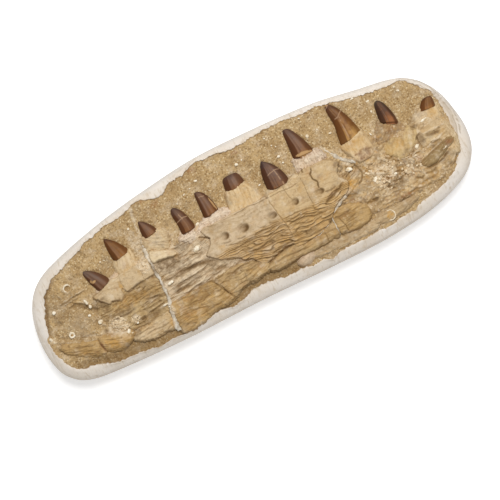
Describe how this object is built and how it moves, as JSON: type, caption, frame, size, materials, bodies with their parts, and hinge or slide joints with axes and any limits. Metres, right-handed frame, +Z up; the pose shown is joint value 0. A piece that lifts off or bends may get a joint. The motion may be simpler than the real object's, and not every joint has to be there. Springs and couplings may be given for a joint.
{
  "type": "fossil mosasaur jaw",
  "caption": "Fossil marine reptile lower jaw with upright recurved teeth, broken into plates, lying in sandy rock inside a shallow white plaster field jacket.",
  "frame": {"origin": "on the floor, under the middle of the jacket's bounding box", "axes": "+X along the jaw towards its front end, +Y from the lower edge of the jaw towards its teeth, +Z up out of the rock surface"},
  "size_m": [0.604, 0.204, 0.0558],
  "materials": {
    "plaster": "matt off-white plaster",
    "rock": "coarse sandy rock, matt",
    "bone_tan": "fibrous tan fossil bone, matt",
    "bone_ochre": "ochre fossil bone, matt",
    "bone_pale": "pale smooth fossil bone, matt"
  },
  "bodies": {
    "root": {"front_plate": "bone_pale", "front_splinter": "bone_pale", "jaw_front": "bone_tan", "jaw_front_middle": "bone_pale", "jaw_middle": "bone_pale", "jaw_rear": "bone_tan", "jaw_rear_middle": "bone_tan", "lower_bar_front": "bone_ochre", "lower_bar_rear": "bone_ochre", "lower_front_bar": "bone_ochre", "lower_plate_middle": "bone_tan", "lower_plate_rear": "bone_ochre", "plaster_jacket": "plaster", "rear_lower_plate": "bone_ochre", "rear_splinter_inner": "bone_ochre", "rear_splinter_outer": "bone_ochre", "rock_matrix": "rock"}
  },
  "joints": []
}
